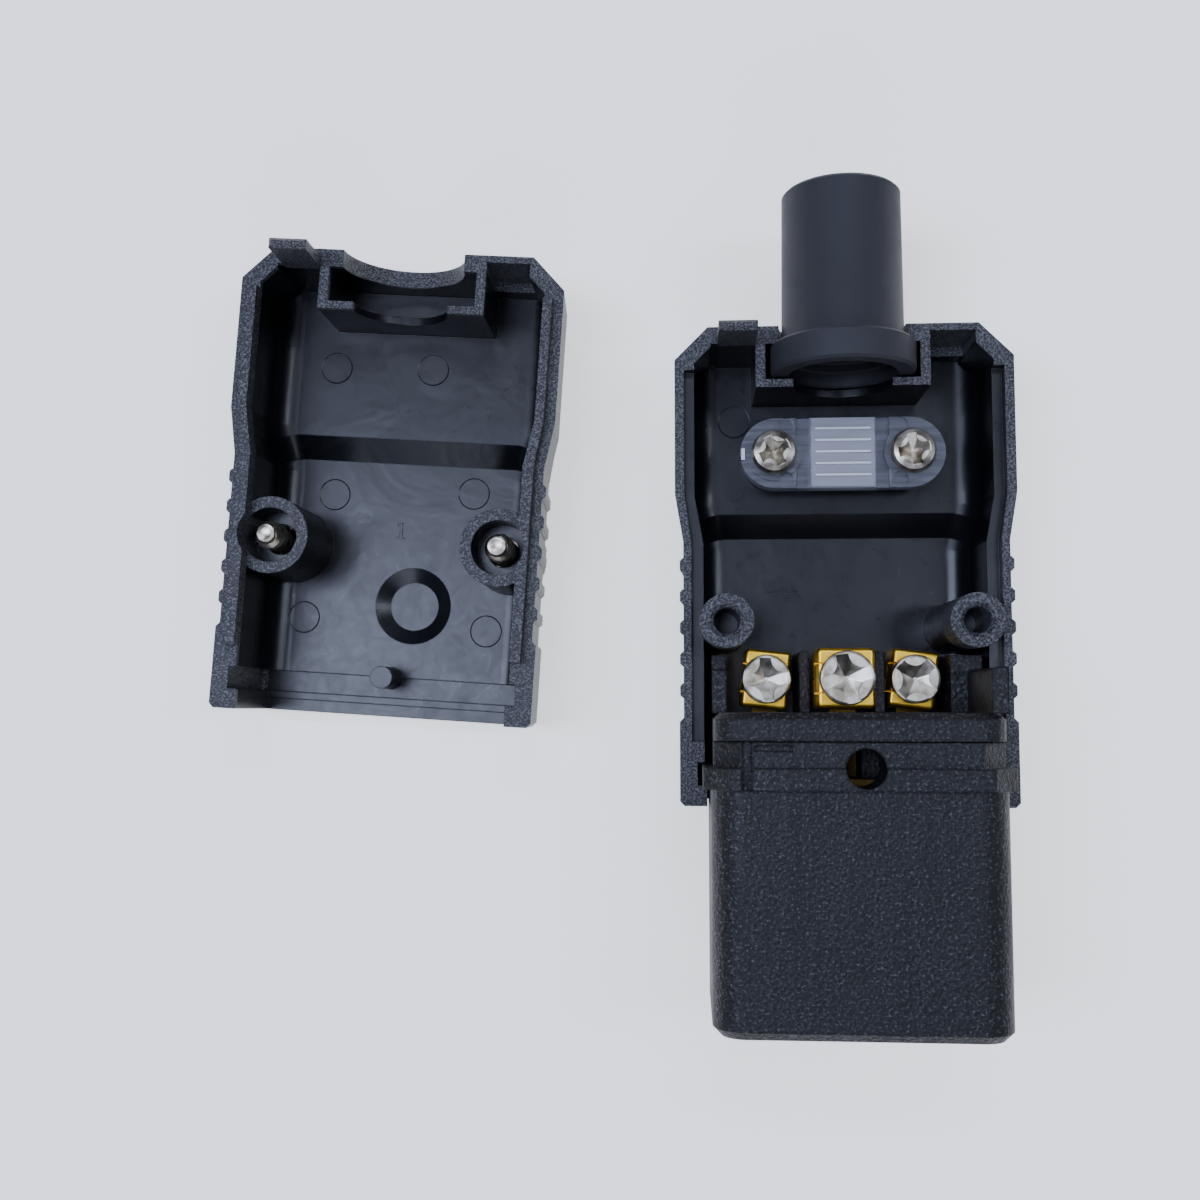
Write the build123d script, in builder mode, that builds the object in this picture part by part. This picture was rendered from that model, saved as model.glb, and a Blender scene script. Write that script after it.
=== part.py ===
from build123d import *
import math
import os

# A rewirable appliance connector for data centre power, lying open on a bench.
# The base half holds the nose, the terminals, the cord clamp and the boot.
# The cover half lies beside it with its inside up.
# Lengths along Y are measured from the front end of the shell, where the nose comes out.

# Nose that enters the appliance inlet
nose_height = 22.6
nose_reach = 22.1
nose_corner = 3.3
nose_front_edge = 0.9
nose_front_wall = 2.1

# Blade slots and contact chambers
slot_width = 8.4
slot_height = 2.4
slot_spacing = 13.0
nose_side_wall = 4.25
earth_rise = 4.0
chamber_width = 8.8
chamber_height = 4.6

# Flange that keys the nose into the shell
flange_out = 0.8
flange_length = 2.25
neck_length = 2.6
neck_in = 0.3
flange_corner = 2.8
key_x = -11.4
key_width = 1.0
key_depth = 0.6
notch_x = -8.7
notch_length = 3.8
notch_width = 0.6
notch_back = 0.3
notch_depth = 0.3
pin_hole_radius = 2.0
pin_hole_x = 0.4
pin_hole_y = 4.6

# Terminal carrier behind the nose
carrier_gap = 0.1
carrier_plate = 2.85
carrier_corner = 2.6
plate_edge = 0.7
partition_length = 6.75
partition_width = 1.1
partition_top = 12.0
post_width = 1.6
post_top = 14.0
cheek_length = 4.7
cheek_end = 0.5
cheek_width = 1.6
block_top = 12.5
block_short = 0.5
partition_foot_gap = 0.3
partition_end = 0.5

# Terminals
terminal_centre = -0.4
terminal_set_in = 4.85
block_pitches = 1.5
terminal_y = 13.8
earth_lift = 6.0
cage_width = 5.2
earth_cage_width = 6.2
cage_depth = 6.5
cage_height = 5.5
cage_wall = 0.8
cage_top_wall = 1.4
cage_bottom_z = 4.4
cage_skew_live = -6.0
cage_skew_neutral = -7.0
cage_corner = 0.5
screw_radius = 1.75
screw_fit = 0.08
screw_head_radius = 2.7
earth_head_radius = 2.9
screw_head_height = 1.6
head_gap = 0.12
terminal_head_edge = 0.35
riser_y = 2.9

# Contact strips
strip_thick = 0.7
tail_width = 2.8
leaf_width = 7.6
leaf_spacing = 2.6
leaf_mouth = 0.5
leaf_end_gap = 0.6
strip_gap = 0.12

# Shell halves
floor_wall = 2.2
seat_gap = 0.1
mouth_gap = 0.25
cavity_gap = 0.5
block_wall = 2.7
grip_wall = 2.25
wall_draft = 3.0
shoulder_out = 0.95
shoulder_wall = 2.2
case_length = 53.0
block_length = 9.6
block_taper = 0.7
rib_first = 12.5
rib_pitch = 3.44
rib_count = 5
rib_width = 1.6
rib_out = 0.4
rib_root = 0.8
rib_bottom = 3.6
rib_corner = 0.3
rib_margin = 2.6
taper_length = 5.3
corner_cut = 3.7
rear_rise = 1.7
slope_lead = 1.7
slope_length = 2.7
outer_edge = 3.0
inner_edge = 2.6
block_edge = 0.5
touch = 0.01
facing_ratio = 0.9
groove_gap = 0.12
groove_side_gap = 0.45
groove_depth = 0.5
mouth_step_length = 1.4
mouth_step_depth = 0.3
lip_start = 7.0
lip_height = 1.2
lip_width_front = 1.35
lip_width_rear = 1.15
lip_gap = 0.1
end_wall = 1.9
pocket_wall = 0.8
pocket_depth = 7.0

# Hook and pocket that lock the cable ends of the two halves
hook_width = 4.2
hook_thick = 1.15
hook_rise = 6.2
hook_gap = 0.2
hook_inset = 0.35
hook_edge = 0.4

# Slot that grips the cord boot
boot_radius = 6.7
boot_notch_gap = 0.3
boot_flange_radius = 7.95
boot_flange_length = 3.4
boot_flange_gap = 0.55
boot_reach = 14.8
boot_bore = 4.6
boot_bore_mouth = 0.5
boot_taper = 0.15
boot_edge = 0.5
slot_end_wall = 2.0
slot_inner_wall = 0.9
slot_side_wall = 1.1
slot_play = 0.6
inner_notch = 5.45

# Screws that close the case
boss_spacing = 26.2
boss_behind_carrier = 2.95
boss_radius = 2.9
boss_rise = 4.8
boss_pilot = 1.42
boss_mouth = 0.43
boss_pilot_depth = 8.0
socket_gap = 0.2
socket_wall = 1.3
socket_drop = 0.7
socket_web = 3.6
case_screw_radius = 1.6
case_screw_tip = 0.6
case_screw_turn = 10
case_screw_hole_gap = 0.2
case_screw_length = 9.4
case_head_radius = 2.6
case_head_height = 1.9
case_head_gap = 0.4
case_head_edge = 0.6

# Locating pin of the cover
cover_pin_radius = 1.3
cover_pin_top = 7.2
recess_x = 1.65
recess_y = 13.4
recess_radius = 4.6
recess_floor_radius = 2.9
recess_depth = 0.9

# Cord clamp
clamp_x = 0.3
clamp_to_slot = 6.7
clamp_spacing = 15.5
clamp_bar_length = 23.0
clamp_bar_width = 8.0
clamp_bar_thick = 2.2
clamp_pad_length = 7.2
clamp_pad_rise = 0.5
clamp_groove_count = 4
clamp_groove_width = 0.5
clamp_post_radius = 3.4
clamp_post_rise = 3.6
clamp_seat_gap = 0.05
clamp_screw_radius = 1.4
clamp_screw_tip = 0.4
clamp_screw_turn = 20
clamp_head_edge = 0.6
clamp_screw_fit = 0.08
clamp_hole_gap = 0.2
clamp_screw_length = 7.0
clamp_head_radius = 2.55
clamp_head_height = 1.8
clamp_pilot_depth = 5.2
saddle_count = 3
saddle_pitch = 2.6
saddle_width = 0.9
saddle_rise = 1.0
saddle_overlap = 0.6

# Screw recesses
recess_arm = 1.0
recess_reach = 1.9
head_recess_depth = 0.9
terminal_screw_tip = 0.5

# Where the cover lies beside the base
cover_x = -52.7
cover_forward = 9.5
cover_turn = -3.67

# Worked out from the sizes above
nose_width = slot_spacing + slot_width + 2 * nose_side_wall
terminal_pitch = slot_spacing - terminal_set_in
case_thickness = nose_height + 2 * (floor_wall + seat_gap)
parting = case_thickness / 2
nose_half = nose_width / 2
nose_bottom = floor_wall + seat_gap
nose_top = nose_bottom + nose_height
flange_half = nose_half + flange_out
flange_front = pin_hole_y - flange_length
neck_end = pin_hole_y + neck_length
plate_front = neck_end + carrier_gap
plate_back = plate_front + carrier_plate
carrier_end = plate_back + partition_length
mouth_half = nose_half + mouth_gap
cavity_half = nose_half + cavity_gap
groove_half = flange_half + groove_side_gap
block_half = cavity_half + block_wall
grip_half = cavity_half + grip_wall
shoulder_cavity = cavity_half + shoulder_out
shoulder_half = shoulder_cavity + shoulder_wall
grip_end = rib_first + (rib_count - 1) * rib_pitch + rib_margin
shoulder_start = grip_end + taper_length
slope_start = grip_end + slope_lead
slope_end = slope_start + slope_length
rear_floor = floor_wall + seat_gap / 2 + rear_rise
boss_x = boss_spacing / 2
boss_y = carrier_end + boss_behind_carrier
boss_top = parting + boss_rise
boot_slot_half = boot_flange_radius + boot_flange_gap
boot_slot_outer = boot_slot_half + slot_side_wall
boot_slot_length = boot_flange_length + slot_play
slot_rear = case_length - slot_end_wall
slot_front = slot_rear - boot_slot_length
slot_wall_front = slot_front - slot_inner_wall
clamp_y = slot_wall_front - clamp_to_slot
boot_notch = boot_radius + boot_notch_gap
hook_face = case_length - pocket_wall - hook_gap
clamp_floor = rear_floor
clamp_post_top = clamp_floor + clamp_post_rise
clamp_bar_bottom = clamp_post_top + clamp_seat_gap
clamp_bar_top = clamp_bar_bottom + clamp_bar_thick
clamp_seat = clamp_bar_top + clamp_seat_gap
saddle_length = clamp_spacing - 2 * (clamp_post_radius - saddle_overlap)
socket_top = parting - socket_drop
socket_floor = case_thickness - boss_top - socket_gap
seat_height = socket_floor - socket_web
socket_inner = boss_radius + socket_gap
socket_outer = socket_inner + socket_wall
y_front = -grip_end / 2

bench = Plane(origin=(0, y_front, 0))
cover_place = Location((cover_x, y_front + cover_forward, 0), (0, 0, cover_turn))
cover_place = cover_place * Location((0, -y_front, 0))
rim_plane = bench.offset(parting)


def upright(y):
    """A plane across the connector at y, with X to the right and Z up."""
    return Plane(origin=(0, y_front + y, 0), x_dir=(1, 0, 0), z_dir=(0, -1, 0))


def lengthwise(x=0):
    """A plane along the connector at x, with Y to the right and Z up."""
    return Plane(origin=(x, y_front, 0), x_dir=(0, 1, 0), z_dir=(1, 0, 0))


def half_plan(points, mode=Mode.ADD):
    """Closes a half outline given on the right of the centre line with its mirror image."""
    with BuildLine() as line:
        Polyline(*points)
        mirror(about=Plane.YZ)
    make_face(line.edges(), mode=mode)


def outer_plan():
    """Plan outline of a shell half, run past both ends: grip, shoulders and cut corners."""
    return [
        (0, -block_length),
        (grip_half, -block_length),
        (grip_half, grip_end),
        (shoulder_half, shoulder_start),
        (shoulder_half, case_length - corner_cut),
        (shoulder_half - 2 * corner_cut, case_length + corner_cut),
        (0, case_length + corner_cut),
    ]


def socket_limit():
    """Plan that keeps the sockets of the cover inside the outer face of the grip."""
    limit = grip_half - rib_out
    return [(0, 0), (limit, 0), (limit, case_length), (0, case_length)]


def cavity_plan():
    """Plan outline of the wiring space behind the mouth."""
    corner_x = shoulder_half - corner_cut - hook_inset
    corner_drop = shoulder_cavity - corner_x
    back = case_length - end_wall
    return [
        (0, flange_front),
        (cavity_half, flange_front),
        (cavity_half, grip_end),
        (shoulder_cavity, shoulder_start),
        (shoulder_cavity, back - hook_inset - corner_drop),
        (corner_x, back - hook_inset),
        (corner_x, back),
        (0, back),
    ]


def lip_plan(gap):
    """Plan outline of the step between the outer and inner lips of the rim."""
    front_half = cavity_half + lip_width_front - gap
    rear_half = shoulder_cavity + lip_width_rear - gap
    lip_end = case_length - corner_cut - lip_width_rear - gap
    return [
        (0, lip_start + gap),
        (front_half, lip_start + gap),
        (front_half, grip_end),
        (rear_half, shoulder_start),
        (rear_half, lip_end),
        (0, lip_end),
    ]


def case_half(with_step):
    """What the two shell halves share: walls, ribs, flange groove, boot slot and hook."""
    with BuildPart() as hollow:
        with BuildSketch(bench.offset(floor_wall)):
            half_plan(cavity_plan())
        extrude(amount=case_thickness)
        with BuildSketch(lengthwise()):
            with BuildLine():
                Polyline(
                    (-case_length, floor_wall),
                    (slope_start, floor_wall),
                    (slope_end, rear_floor),
                    (2 * case_length, rear_floor),
                    (2 * case_length, 2 * case_thickness),
                    (-case_length, 2 * case_thickness),
                    close=True,
                )
            make_face()
        extrude(amount=case_length, both=True, mode=Mode.INTERSECT)
        side_walls = [
            face
            for face in hollow.faces()
            if abs(face.normal_at().X) > facing_ratio
        ]
        low = ShapeList(
            edge
            for face in side_walls
            for edge in face.edges()
            if edge.center().Z < rear_floor + touch
            and edge.center().Y > y_front + flange_front
            and abs((edge @ 0 - edge @ 1).Z) < rear_floor
            and abs((edge @ 0 - edge @ 1).Y) > block_taper
        )
        fillet(low, radius=inner_edge)

    with BuildPart() as end_block:
        with BuildSketch(bench):
            with Locations((0, block_length / 2)):
                Rectangle(2 * block_half, block_length)
        extrude(amount=parting)
        draft(end_block.faces().filter_by(Axis.X), rim_plane, -wall_draft)
        low = end_block.edges().filter_by(Axis.Y).group_by(Axis.Z)[0]
        fillet(low, radius=outer_edge)
        upright_edges = ShapeList(
            edge
            for face in end_block.faces().filter_by(Axis.Y)
            for edge in face.edges()
            if abs(edge.center().X) > block_half / 2
        )
        chamfer(upright_edges, length=block_edge)

    with BuildPart() as body:
        with BuildSketch(bench):
            half_plan(outer_plan())
        extrude(amount=parting)
        outer_walls = [
            face
            for face in body.faces()
            if abs(face.normal_at().X) > touch
        ]
        draft(outer_walls, rim_plane, -wall_draft)
        with BuildSketch(lengthwise()):
            with BuildLine():
                Polyline(
                    (block_length / 2, 0),
                    (slope_start, 0),
                    (slope_end, rear_rise),
                    (case_length, rear_rise),
                    (case_length, parting),
                    (block_length / 2, parting),
                    close=True,
                )
            make_face()
        extrude(amount=case_length, both=True, mode=Mode.INTERSECT)
        low = ShapeList(
            edge
            for edge in body.edges()
            if edge.center().Z < rear_rise + touch
            and abs(edge.center().X) > boot_slot_outer
        )
        fillet(low, radius=outer_edge)
        add(end_block.part)

        lean = math.radians(wall_draft)
        for side in (-1, 1):
            with BuildSketch(bench.offset(parting)) as ribs:
                for count in range(rib_count):
                    rib_y = rib_first + count * rib_pitch
                    with Locations((side * (grip_half + (rib_out - rib_root) / 2), rib_y)):
                        Rectangle(rib_out + rib_root, rib_width)
                chamfer(ribs.vertices(), length=rib_corner)
            extrude(
                ribs.sketch,
                amount=(parting - rib_bottom) / math.cos(lean),
                dir=(-side * math.sin(lean), 0, -math.cos(lean)),
            )

        add(hollow.part, mode=Mode.SUBTRACT)
        with BuildSketch(bench.offset(floor_wall)):
            Rectangle(2 * mouth_half, 2 * (flange_front + touch))
        extrude(amount=case_thickness, mode=Mode.SUBTRACT)
        with BuildSketch(bench.offset(floor_wall - mouth_step_depth)):
            Rectangle(2 * mouth_half, 2 * mouth_step_length)
        extrude(amount=case_thickness, mode=Mode.SUBTRACT)

        groove_length = flange_length + 2 * groove_gap
        groove_y = flange_front - groove_gap + groove_length / 2
        with BuildSketch(bench.offset(floor_wall - groove_depth)):
            with Locations((0, groove_y)):
                Rectangle(2 * groove_half, groove_length)
        extrude(amount=case_thickness, mode=Mode.SUBTRACT)

        if with_step:
            with BuildSketch(bench.offset(parting - lip_height)):
                half_plan(lip_plan(0))
            extrude(amount=case_thickness, mode=Mode.SUBTRACT)

        pocket_left = boot_slot_outer
        pocket_right = shoulder_half - corner_cut - hook_inset
        pocket_back = case_length - pocket_wall
        with BuildSketch(bench.offset(parting - pocket_depth)):
            with Locations(((pocket_left + pocket_right) / 2, pocket_back - end_wall / 2)):
                Rectangle(pocket_right - pocket_left, end_wall)
        extrude(amount=case_thickness, mode=Mode.SUBTRACT)

        slot_box_length = case_length - slot_wall_front
        with BuildSketch(bench.offset(rear_floor - seat_gap)):
            with Locations((0, slot_wall_front + slot_box_length / 2)):
                Rectangle(2 * boot_slot_outer, slot_box_length)
        extrude(amount=parting - rear_floor + seat_gap)
        with BuildSketch(bench.offset(rear_floor)):
            with Locations((0, slot_front + boot_slot_length / 2)):
                Rectangle(2 * boot_slot_half, boot_slot_length)
        extrude(amount=case_thickness, mode=Mode.SUBTRACT)
        with BuildSketch(upright(case_length)):
            with Locations((0, parting)):
                Circle(boot_notch)
        extrude(amount=slot_end_wall, both=True, mode=Mode.SUBTRACT)
        with BuildSketch(upright(slot_front)):
            with Locations((0, parting)):
                Circle(inner_notch)
        extrude(amount=slot_inner_wall, both=True, mode=Mode.SUBTRACT)

        hook_centre = -(boot_slot_outer + hook_width / 2)
        with BuildSketch(bench.offset(rear_floor)):
            with Locations((hook_centre, hook_face - hook_thick / 2)):
                Rectangle(hook_width, hook_thick)
        extrude(amount=parting + hook_rise - rear_floor)
        tip = body.edges().filter_by(lambda e: e.center().Z > parting + hook_rise - touch)
        chamfer(tip, length=hook_edge)
    return body.part


# Base half: the shell that carries everything, with the bosses for the closing screws
with BuildPart() as base_shell:
    add(case_half(True))
    with BuildSketch(bench.offset(floor_wall - seat_gap)):
        with Locations((-boss_x, boss_y), (boss_x, boss_y)):
            Circle(boss_radius)
    extrude(amount=boss_top - floor_wall + seat_gap)
    with BuildSketch(bench.offset(boss_top)):
        with Locations((-boss_x, boss_y), (boss_x, boss_y)):
            Circle(boss_pilot)
    extrude(amount=-boss_pilot_depth, mode=Mode.SUBTRACT)
    pilot_rims = ShapeList(
        edge
        for edge in base_shell.edges().filter_by(GeomType.CIRCLE)
        if edge.center().Z > boss_top - touch and edge.radius < boss_radius - touch
    )
    chamfer(pilot_rims, length=boss_mouth)
    post_foot = floor_wall - seat_gap
    with BuildSketch(bench.offset(post_foot)):
        with Locations((clamp_x, clamp_y)):
            with GridLocations(clamp_spacing, 0, 2, 1):
                Circle(clamp_post_radius)
    extrude(amount=clamp_post_top - post_foot)
    with BuildSketch(bench.offset(clamp_post_top)):
        with Locations((clamp_x, clamp_y)):
            with GridLocations(clamp_spacing, 0, 2, 1):
                Circle(clamp_screw_radius + clamp_screw_fit)
    extrude(amount=-clamp_pilot_depth, mode=Mode.SUBTRACT)
    with BuildSketch(bench.offset(post_foot)):
        with Locations((clamp_x, clamp_y)):
            with GridLocations(0, saddle_pitch, 1, saddle_count):
                Rectangle(saddle_length, saddle_width)
    extrude(amount=clamp_floor + saddle_rise - post_foot)

# Cover half: the same shell with a raised inner lip and sockets for the bosses of the base
with BuildPart() as cover_shell:
    add(case_half(False))
    with BuildSketch(bench.offset(parting)):
        half_plan(lip_plan(lip_gap))
        half_plan(cavity_plan(), mode=Mode.SUBTRACT)
    extrude(amount=lip_height)
    with BuildSketch(bench.offset(floor_wall - seat_gap)):
        with Locations((-boss_x, boss_y), (boss_x, boss_y)):
            Circle(socket_outer)
        half_plan(socket_limit(), mode=Mode.INTERSECT)
    extrude(amount=socket_top - floor_wall + seat_gap)
    with BuildSketch(bench.offset(socket_floor)):
        with Locations((-boss_x, boss_y), (boss_x, boss_y)):
            Circle(socket_inner)
    extrude(amount=case_thickness, mode=Mode.SUBTRACT)
    with BuildSketch(bench):
        with Locations((-boss_x, boss_y), (boss_x, boss_y)):
            Circle(case_head_radius + case_head_gap)
    extrude(amount=seat_height, mode=Mode.SUBTRACT)
    with BuildSketch(bench.offset(seat_height)):
        with Locations((-boss_x, boss_y), (boss_x, boss_y)):
            Circle(case_screw_radius + case_screw_hole_gap)
    extrude(amount=case_thickness, mode=Mode.SUBTRACT)
    with BuildSketch(bench.offset(floor_wall - groove_depth - seat_gap)):
        with Locations((-pin_hole_x, pin_hole_y)):
            Circle(cover_pin_radius)
    extrude(amount=cover_pin_top - floor_wall + groove_depth + seat_gap)
    with BuildSketch(bench.offset(floor_wall)):
        with Locations((recess_x, recess_y)):
            Circle(recess_radius)
    with BuildSketch(bench.offset(floor_wall - recess_depth)):
        with Locations((recess_x, recess_y)):
            Circle(recess_floor_radius)
    loft(mode=Mode.SUBTRACT)

# Blade slots in the face of the nose: place across and height
slots = {
    "live": (-slot_spacing / 2, parting - earth_rise),
    "earth": (0, parting + earth_rise),
    "neutral": (slot_spacing / 2, parting - earth_rise),
}
# Terminals, the same for the three poles: place, lift, skew and sizes
poles = {
    "live": (terminal_centre - terminal_pitch, 0, cage_skew_live, cage_width, screw_head_radius),
    "earth": (terminal_centre, earth_lift, 0, earth_cage_width, earth_head_radius),
    "neutral": (
        terminal_centre + terminal_pitch,
        0,
        cage_skew_neutral,
        cage_width,
        screw_head_radius,
    ),
}
strip_z = cage_bottom_z + cage_wall + strip_gap

# Nose: one moulding with the blade slots, the contact chambers and the keying flange
with BuildPart() as nose_body:
    with BuildSketch(upright(pin_hole_y)):
        with Locations((0, parting)):
            RectangleRounded(nose_width, nose_height, nose_corner)
    extrude(amount=pin_hole_y + nose_reach)
    chamfer(nose_body.faces().sort_by(Axis.Y)[0].edges(), length=nose_front_edge)
    flange_height = nose_height + 2 * (groove_depth - groove_gap)
    with BuildSketch(upright(pin_hole_y)) as flange:
        with Locations((0, parting)):
            Rectangle(2 * flange_half, flange_height)
        chamfer(flange.vertices(), length=flange_corner)
    extrude(amount=flange_length)
    with BuildSketch(upright(neck_end)) as neck:
        with Locations((0, parting)):
            Rectangle(nose_width - 2 * neck_in, nose_height)
        chamfer(neck.vertices(), length=flange_corner)
    extrude(amount=neck_length)
    with BuildSketch(upright(neck_end)):
        with Locations((key_x, parting + flange_height / 2)):
            Rectangle(key_width, flange_height - nose_height + 2 * key_depth)
    extrude(amount=neck_length + flange_length, mode=Mode.SUBTRACT)
    with BuildSketch(bench.offset(nose_top - notch_depth)):
        with Locations((notch_x, neck_end - notch_back - notch_width / 2)):
            Rectangle(notch_length, notch_width)
    extrude(amount=notch_depth, mode=Mode.SUBTRACT)
    with BuildSketch(upright(neck_end)):
        with Locations(*slots.values()):
            Rectangle(chamber_width, chamber_height)
    extrude(amount=neck_end + nose_reach - nose_front_wall, mode=Mode.SUBTRACT)
    with BuildSketch(upright(neck_end)):
        for pole, (pole_x, lift, _, _, _) in poles.items():
            well_bottom = strip_z + lift - strip_gap
            well_top = slots[pole][1]
            with Locations((pole_x, (well_bottom + well_top) / 2)):
                Rectangle(tail_width + 2 * strip_gap, well_top - well_bottom)
    extrude(amount=neck_end - riser_y + strip_thick / 2 + strip_gap, mode=Mode.SUBTRACT)
    with BuildSketch(upright(0)):
        with Locations(*slots.values()):
            Rectangle(slot_width, slot_height)
    extrude(amount=2 * nose_reach, mode=Mode.SUBTRACT)
    with BuildSketch(bench.offset(parting + earth_rise)):
        with Locations((pin_hole_x, pin_hole_y)):
            Circle(pin_hole_radius)
    extrude(amount=nose_height, mode=Mode.SUBTRACT)

# Terminal carrier: back wall of the nose with partitions between the terminals
with BuildPart() as terminal_carrier:
    with BuildSketch(upright(plate_back)):
        with Locations((0, parting)):
            RectangleRounded(nose_width - 2 * neck_in, nose_height, carrier_corner)
    extrude(amount=carrier_plate)
    plate_top = terminal_carrier.edges().filter_by(
        lambda e: e.center().Z > nose_top - touch
    )
    chamfer(plate_top.sort_by(Axis.Y)[-1], length=plate_edge)
    wall_foot = floor_wall + inner_edge
    left_wall = -(nose_half - neck_in)
    right_wall = nose_half - neck_in
    wall_y = plate_back - seat_gap
    block_end = carrier_end - block_short
    partition_foot = floor_wall + partition_foot_gap
    with BuildSketch(bench.offset(partition_foot)):
        with Locations((terminal_centre, (wall_y + carrier_end) / 2)):
            with GridLocations(terminal_pitch, 0, 2, 1):
                Rectangle(partition_width, carrier_end - wall_y)
    extrude(amount=partition_top - partition_foot)
    partition_ends = ShapeList(
        edge
        for edge in terminal_carrier.edges().filter_by(Axis.Z)
        if edge.center().Y > y_front + carrier_end - touch
    )
    fillet(partition_ends, radius=partition_end)
    with BuildSketch(bench.offset(wall_foot)):
        with Locations((left_wall + post_width / 2, (wall_y + block_end) / 2)):
            Rectangle(post_width, block_end - wall_y)
    extrude(amount=block_top - wall_foot)
    with BuildSketch(bench.offset(wall_foot)):
        with Locations((left_wall + post_width / 2, wall_y + cheek_length / 2)):
            Rectangle(post_width, cheek_length)
    extrude(amount=post_top - wall_foot)
    block_left = terminal_centre + terminal_pitch * block_pitches - partition_width / 2
    with BuildSketch(bench.offset(wall_foot)):
        with Locations(((block_left + right_wall) / 2, (wall_y + block_end) / 2)):
            Rectangle(right_wall - block_left, block_end - wall_y)
    extrude(amount=block_top - wall_foot)
    with BuildSketch(bench.offset(wall_foot)):
        with Locations((right_wall - cheek_width / 2, wall_y + cheek_length / 2)):
            Rectangle(cheek_width, cheek_length)
    extrude(amount=nose_top - plate_edge - wall_foot)
    cheek_edges = ShapeList(
        edge
        for edge in terminal_carrier.edges().filter_by(Axis.Z)
        if abs(edge.center().Y - y_front - wall_y - cheek_length) < touch
        and edge.center().X > 0
    )
    fillet(cheek_edges.sort_by(Axis.X)[0], radius=cheek_end)
    with BuildSketch(upright(plate_back)):
        for pole_x, lift, _, _, _ in poles.values():
            with Locations((pole_x, strip_z + lift + strip_thick / 2)):
                Rectangle(tail_width + 2 * strip_gap, strip_thick + 2 * strip_gap)
    extrude(amount=carrier_plate, mode=Mode.SUBTRACT)

# Boot: a rubber grommet whose flange sits in the slot at the cable end
boot_front = slot_front + slot_play / 2
boot_back = case_length + boot_reach
with BuildPart() as cable_boot:
    with BuildSketch(bench.offset(parting)):
        with BuildLine():
            Polyline(
                (boot_bore + boot_bore_mouth, boot_front),
                (boot_flange_radius, boot_front),
                (boot_flange_radius, boot_front + boot_flange_length),
                (boot_radius, boot_front + boot_flange_length),
                (boot_radius - boot_taper, boot_back),
                (boot_bore, boot_back),
                (boot_bore, boot_front + boot_bore_mouth),
                close=True,
            )
        make_face()
    revolve(axis=Axis(bench.from_local_coords((0, 0, parting)), (0, 1, 0)))
    rims = cable_boot.edges().filter_by(GeomType.CIRCLE).sort_by(Axis.Y)[-2:]
    chamfer(rims.sort_by(SortBy.RADIUS)[-1], length=boot_edge)


def drive_cross(plane, reach, depth):
    """Cross recess cut into a screw head from its top plane."""
    with BuildPart() as cross:
        with BuildSketch(plane):
            Rectangle(2 * reach, recess_arm)
            Rectangle(recess_arm, 2 * reach)
        extrude(amount=-depth, both=True)
    return cross.part


def machine_screw(place, seat, sizes, turn):
    """A screw with its head seated at z = seat and its shank pointing down or up."""
    head_radius, head_height, head_edge, shank_radius, shank_length, tip, facing = sizes
    x, y = place
    centre = bench.from_local_coords((x, y, seat))
    axis_plane = Plane(origin=centre, x_dir=(1, 0, 0), z_dir=(0, 0, facing)).rotated((0, 0, turn))
    with BuildPart() as screw:
        with BuildSketch(axis_plane):
            Circle(head_radius)
        extrude(amount=head_height)
        crown = screw.faces().sort_by(lambda f: f.center().Z * facing)[-1]
        chamfer(crown.edges(), length=head_edge)
        with BuildSketch(axis_plane):
            Circle(shank_radius)
        extrude(amount=-shank_length)
        foot = screw.faces().sort_by(lambda f: f.center().Z * facing)[0]
        chamfer(foot.edges(), length=tip)
        add(
            drive_cross(axis_plane.offset(head_height), recess_reach, head_recess_depth),
            mode=Mode.SUBTRACT,
        )
    return screw.part


parts = {
    "base_shell": base_shell.part,
    "cover_shell": cover_shell.part.moved(cover_place),
    "nose_body": nose_body.part,
    "terminal_carrier": terminal_carrier.part,
    "cable_boot": cable_boot.part,
}

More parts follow.
